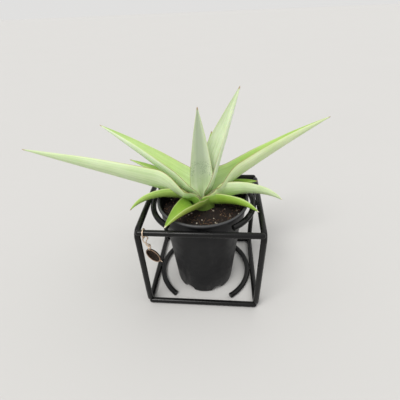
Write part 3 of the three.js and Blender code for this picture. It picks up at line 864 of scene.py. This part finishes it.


# two face colours, then painted shade at the crown end, lines and bloom from noise, painted shade and
# a patch of speckles on the centre leaf, a margin and a point
def leafFinish(leaf, rank):
    finish, tree, shader = newMaterial(
        "leafSkin_%02d" % (rank + 1), Roughness=0.46, Subsurface_Weight=0.1,
        Subsurface_Scale=0.003, Subsurface_Radius=(0.6, 1.0, 0.25))
    along, across, inside = (field(tree, k) for k in ("along", "across", "inside"))
    face = mix(tree, inside, leaf["outer"], leaf["inner"])
    # painted shade: the crown end, where the leaves clasp, blends to the base colour, mostly darker
    crownShade = ramp(tree, along, [(0.0, grey(1)), (0.16, grey(0.55)), (0.36, grey(0))])
    face = mix(tree, crownShade, face, leaf["base"])
    # lengthwise lines: noise stretched along the leaf
    lane = put(tree, "CombineXYZ", {0: maths(tree, "MULTIPLY", across, 17.0),
                                    1: maths(tree, "MULTIPLY", along, 1.6),
                                    2: float(rank) * 3.7}).outputs[0]
    lines = noise(tree, lane, 1.0, 4.0, 0.65)
    face = mix(tree, 1.0, face, ramp(tree, lines, [
        (0.3, (0.78, 0.83, 0.72)), (0.5, (1.0, 1.0, 1.0)), (0.72, (1.10, 1.06, 1.14))]), "MULTIPLY")
    # soft bloom in patches
    patch = put(tree, "CombineXYZ", {0: maths(tree, "MULTIPLY", across, 2.2),
                                     1: maths(tree, "MULTIPLY", along, 7.0),
                                     2: float(rank) * 5.1}).outputs[0]
    face = mix(tree, 1.0, face, ramp(tree, noise(tree, patch, 1.0, 3.0), [
        (0.32, (0.90, 0.93, 0.86)), (0.68, (1.05, 1.03, 1.08))]), "MULTIPLY")
    # painted shade down the middle of the centre leaf's gutter, fading out near the crown
    if "channelShade" in leaf:
        middleShade = ramp(tree, maths(tree, "ABSOLUTE", across), [(0.3, grey(0.9)),
                                                                  (0.85, grey(0))])
        above = ramp(tree, along, [(0.14, grey(0.15)), (0.4, grey(1))])
        face = mix(tree, maths(tree, "MULTIPLY", middleShade, above), face, leaf["channelShade"])
        # a patch of dark green speckles on the centre leaf
        dots = noise(tree, objectPlace(tree), 900.0, 2.0, 0.5)
        dots = ramp(tree, dots, [(0.53, grey(0)), (0.58, grey(1))])
        cloud = ramp(tree, noise(tree, objectPlace(tree), 150.0, 1.0), [(0.42, grey(0)),
                                                                        (0.52, grey(1))])
        window = ramp(tree, along, [(0.26, grey(0)), (0.31, grey(1)), (0.46, grey(1)),
                                    (0.50, grey(0))])
        dots = maths(tree, "MULTIPLY", maths(tree, "MULTIPLY", dots, cloud), window)
        face = mix(tree, maths(tree, "MULTIPLY", dots, 0.5), face, speckGreen)
    # pale margin, with a thin brown edge near the crown
    margin = maths(tree, "ABSOLUTE", across)
    face = mix(tree, ramp(tree, margin, [(0.90, grey(0)), (0.97, grey(0.45)), (1.0, grey(0.6))]),
               face, marginGreen)
    rust = maths(tree, "MULTIPLY", ramp(tree, margin, [(0.972, grey(0)), (0.988, grey(1))]),
                 ramp(tree, along, [(0.3, grey(0.85)), (0.62, grey(0.12))]))
    face = mix(tree, rust, face, rustBrown)
    horn = 1 - 2.0 / leaf["length"]
    face = mix(tree, ramp(tree, along, [(horn - 0.015, grey(0)), (horn, grey(0.8)),
                                        (1.0, grey(1))]), face, leaf["tip"])
    tree.links.new(face, shader.inputs["Base Color"])
    gloss = ramp(tree, lines, [(0.3, grey(0.40)), (0.7, grey(0.54))])
    tree.links.new(gloss, shader.inputs["Roughness"])
    bump(tree, shader, lines, 0.3, 0.0005)
    return finish


# one closed blade for each leaf, closed by a strip in the clasp and a fan at the point
def buildLeaves():
    for rank, leaf in enumerate(leaves):
        rings, fields = leafSurface(leaf, rank)
        makePiece("leafBlade_" + leaf["node"][5:], loftSolid(rings, ("strip", "fan")),
                  leafFinish(leaf, rank), "stand", [leaf["node"]], fields)


scale = {"offset": (-1 * mm, -11 * mm, 13.5 * mm), "long": 7 * mm, "wide": 3.6 * mm,
         "thick": 0.3 * mm, "slope": 38, "heading": (-0.25, -0.97),
         "bowAcross": 0.9 * mm, "bowAlong": 1.2 * mm}


# the withered tip of an old sheath at the front of the crown: a thin pointed flake, bowed by
# the square of the distance from its middle, along its length and across
def buildScale():
    t = np.linspace(0, 1, 26)[:, None]
    e = np.sin(np.linspace(-np.pi / 2, np.pi / 2, 15))[None]
    tilt = np.radians(scale["slope"])
    ahead = np.array([*(np.array(scale["heading"]) * np.cos(tilt)), np.sin(tilt)])
    side = np.cross(ahead, [0, 0, 1.0])
    side /= np.linalg.norm(side)
    face = np.cross(side, ahead)
    half = scale["wide"] / 2 * (np.sin(np.pi * np.clip(t * 0.94 + 0.03, 0, 1)) ** 0.7)
    bow = scale["bowAcross"] * e ** 2 * half / scale["wide"] * 2 - scale["bowAlong"] * (t - 0.5) ** 2
    foot = np.array([crown["x"], crown["y"], crown["z"]]) + scale["offset"]
    run = (t - 0.5) * scale["long"] * (1 + 0.05 * np.sin(e * 7))
    mid = foot + run[..., None] * ahead + (half * e)[..., None] * side + bow[..., None] * face
    depth = scale["thick"] / 2 * np.sqrt(np.clip(1 - np.abs(e) ** 6, 0, 1)) + 0 * t
    top, under = mid + depth[..., None] * face, mid - depth[..., None] * face
    rings = np.concatenate([top, under[:, -2:0:-1]], 1)
    finish = mixFinish("driedScale", (0.16, 0.11, 0.085), (0.42, 0.34, 0.28), 0.8, 600.0)
    makePiece("driedScale", loftSolid(rings), finish, "stand")


buildLeaves()
buildScale()
print("leaves built")


# lengths in metres along the charm, and angles in degrees
charm = {
    "lean": 12.5, "turn": 24,              # away from the post, and the face to the left
    "ringWire": 0.6 * mm, "linkWire": 0.5 * mm, "gap": 0.3 * mm,
    "linkLong": 6.8 * mm, "linkWide": 2.8 * mm,
    "eyeR": 2.5 * mm, "discR": 8.4 * mm, "discT": 1.8 * mm,
    "rim": 0.86,                           # where the raised rim starts, as a share of the radius
    "pinTurn": 52, "pinLong": 3.0 * mm, "pinR": 0.45 * mm, "pinEdge": 0.15 * mm,
    "pinSunk": 0.8 * mm,
}


# bare copper, uneven in tone and polish
def copperFinish():
    finish, tree, shader = newMaterial("copperWire", Metallic=1.0, Roughness=0.28)
    place = objectPlace(tree)
    tone = ramp(tree, noise(tree, place, 260.0), [(0.3, (0.62, 0.44, 0.31)),
                                                  (0.7, (0.90, 0.74, 0.58))])
    tree.links.new(tone, shader.inputs["Base Color"])
    gloss = ramp(tree, noise(tree, place, 700.0), [(0.3, grey(0.2)), (0.7, grey(0.36))])
    tree.links.new(gloss, shader.inputs["Roughness"])
    return finish


# dark patina in the hollows, copper worn bright on whatever stands up
def pendantFinish():
    finish, tree, shader = newMaterial("agedBronze", Metallic=1.0, Roughness=0.4)
    place = objectPlace(tree)
    worn = maths(tree, "MULTIPLY", noise(tree, place, 900.0, 5.0), 0.7)
    worn = maths(tree, "ADD", field(tree, "raised"), maths(tree, "SUBTRACT", worn, 0.35), True)
    tone = ramp(tree, worn, [(0.08, (0.016, 0.011, 0.008)), (0.55, (0.07, 0.04, 0.028)),
                             (0.9, (0.62, 0.43, 0.31))])
    tree.links.new(tone, shader.inputs["Base Color"])
    gloss = ramp(tree, noise(tree, place, 500.0), [(0.3, grey(0.3)), (0.7, grey(0.55))])
    tree.links.new(gloss, shader.inputs["Roughness"])
    bump(tree, shader, noise(tree, place, 1600.0, 4.0), 0.5, 0.0004)
    return finish


# a closed wire on an ellipse with half axes ru and rv along u and v; twist turns the second
# axis about the first by half a turn from one end to the other
def loopSolid(centre, u, v, ru, rv, radius, twist=0, count=96):
    a = np.arange(count) / count * tau
    w = np.cross(u, v)
    turn = twist * np.pi * smooth((1 - np.cos(a)) / 2)
    lateral = rv * np.sin(a)
    path = (centre + ru * np.cos(a)[:, None] * u + (lateral * np.cos(turn))[:, None] * v
            + (lateral * np.sin(turn))[:, None] * w)
    tangent = np.roll(path, -1, 0) - np.roll(path, 1, 0)
    tangent /= np.linalg.norm(tangent, axis=1, keepdims=True)
    outward = path - centre - ((path - centre) @ u)[:, None] * u * 0.5
    across = np.cross(tangent, outward)
    across /= np.linalg.norm(across, axis=1, keepdims=True)
    return loftSolid(wireRings(path, across, radius, 16, loop=True), loop=True)


# height of the disc's face over its middle plane: a round rim, a sunk field with eight
# petals and a boss, and fine hammering
def faceHeight(r, a):
    r = r + 0 * a
    rim = np.sqrt(np.clip(1 - ((r - 0.93) / 0.07) ** 2, 0, 1)) * (r > charm["rim"])
    petal = np.cos(a * 4) ** 2 * np.sin(np.clip((r - 0.2) / 0.6, 0, 1) * np.pi)
    boss = np.exp(-(r / 0.13) ** 2)
    ring = np.exp(-((r - 0.8) / 0.025) ** 2)
    hammer = np.sin(r * 31 + 2 * np.sin(a * 5)) * np.sin(a * 9 + r * 7)
    raised = np.clip(np.maximum.reduce([rim, 0.55 * petal, 0.6 * boss, 0.5 * ring]), 0, 1)
    return 0.28 + 0.72 * np.clip(raised + 0.06 * hammer * (r < 0.84), 0, 1), raised


# two faces in polar rings, joined round the edge
def discSolid(centre, down, normal):
    side = np.cross(normal, down)
    a = np.arange(128) / 128 * tau
    radii = np.concatenate([np.linspace(0.03, 0.84, 34), np.linspace(0.855, 1.0, 13)])
    rings, raised = [], []
    for face in (1, -1):
        for r in (radii if face > 0 else radii[::-1]):
            height, up = faceHeight(r, a if face > 0 else a * 0)
            lift = face * height * charm["discT"] / 2
            rings.append(centre + charm["discR"] * r * (np.cos(a)[:, None] * down
                                                        + np.sin(a)[:, None] * side)
                         + lift[:, None] * normal)
            raised.append(up)
    return loftSolid(np.array(rings)), np.array(raised).ravel()


# the ring hangs on the rail, and the link, eye and pendant follow one leaning line below it
def buildCharm():
    copper, bronze = copperFinish(), pendantFinish()
    low, high = corners("charm_ring")
    centre = (low + high) / 2
    ringR = (high[2] - low[2]) / 2 - charm["ringWire"]
    lean, turn = np.radians([charm["lean"], charm["turn"]])
    front, up = np.array([0, -1.0, 0]), np.array([0, 0, 1.0])
    down = np.array([np.sin(lean), 0, -np.cos(lean)])
    side = np.array([np.cos(lean), 0, np.sin(lean)])
    makePiece("charmRing", loopSolid(centre, up, front, ringR, ringR, charm["ringWire"]),
              copper, "charm", ["charm_ring"])
    top = centre - up * (ringR - charm["ringWire"] - charm["linkWire"] - charm["gap"])
    linkAt = top + down * charm["linkLong"]
    link = loopSolid(linkAt, down, side, charm["linkLong"], charm["linkWide"],
                     charm["linkWire"], twist=1)
    makePiece("charmLink", link, copper, "charm", ["charm_link"])
    eyeTop = linkAt + down * (charm["linkLong"] - 2 * charm["linkWire"] - charm["gap"])
    eyeAt = eyeTop + down * charm["eyeR"]
    eye = loopSolid(eyeAt, down, front, charm["eyeR"], charm["eyeR"], charm["linkWire"])
    makePiece("charmEye", eye, copper, "charm")
    discAt = eyeAt + down * (charm["eyeR"] + charm["discR"] - charm["gap"])
    normal = front * np.cos(turn) - side * np.sin(turn)
    solid, raised = discSolid(discAt, down, normal)
    makePiece("charmPendant", solid, bronze, "charm", ["charm_pendant"],
              {"raised": raised})
    # a small pin at the rim, low on the right
    pinTurn = np.radians(charm["pinTurn"])
    right = np.cross(normal, down)
    right *= np.sign(right[0])
    out = down * np.cos(pinTurn) + right * np.sin(pinTurn)
    s, r = squareEnds(charm["pinLong"], charm["pinR"], charm["pinEdge"], 6)
    path = discAt + out * (charm["discR"] - charm["pinSunk"] + s[:, None])
    makePiece("charmPin", loftSolid(wireRings(path, normal, r, 16)), copper, "charm")


buildCharm()
print("charm built")
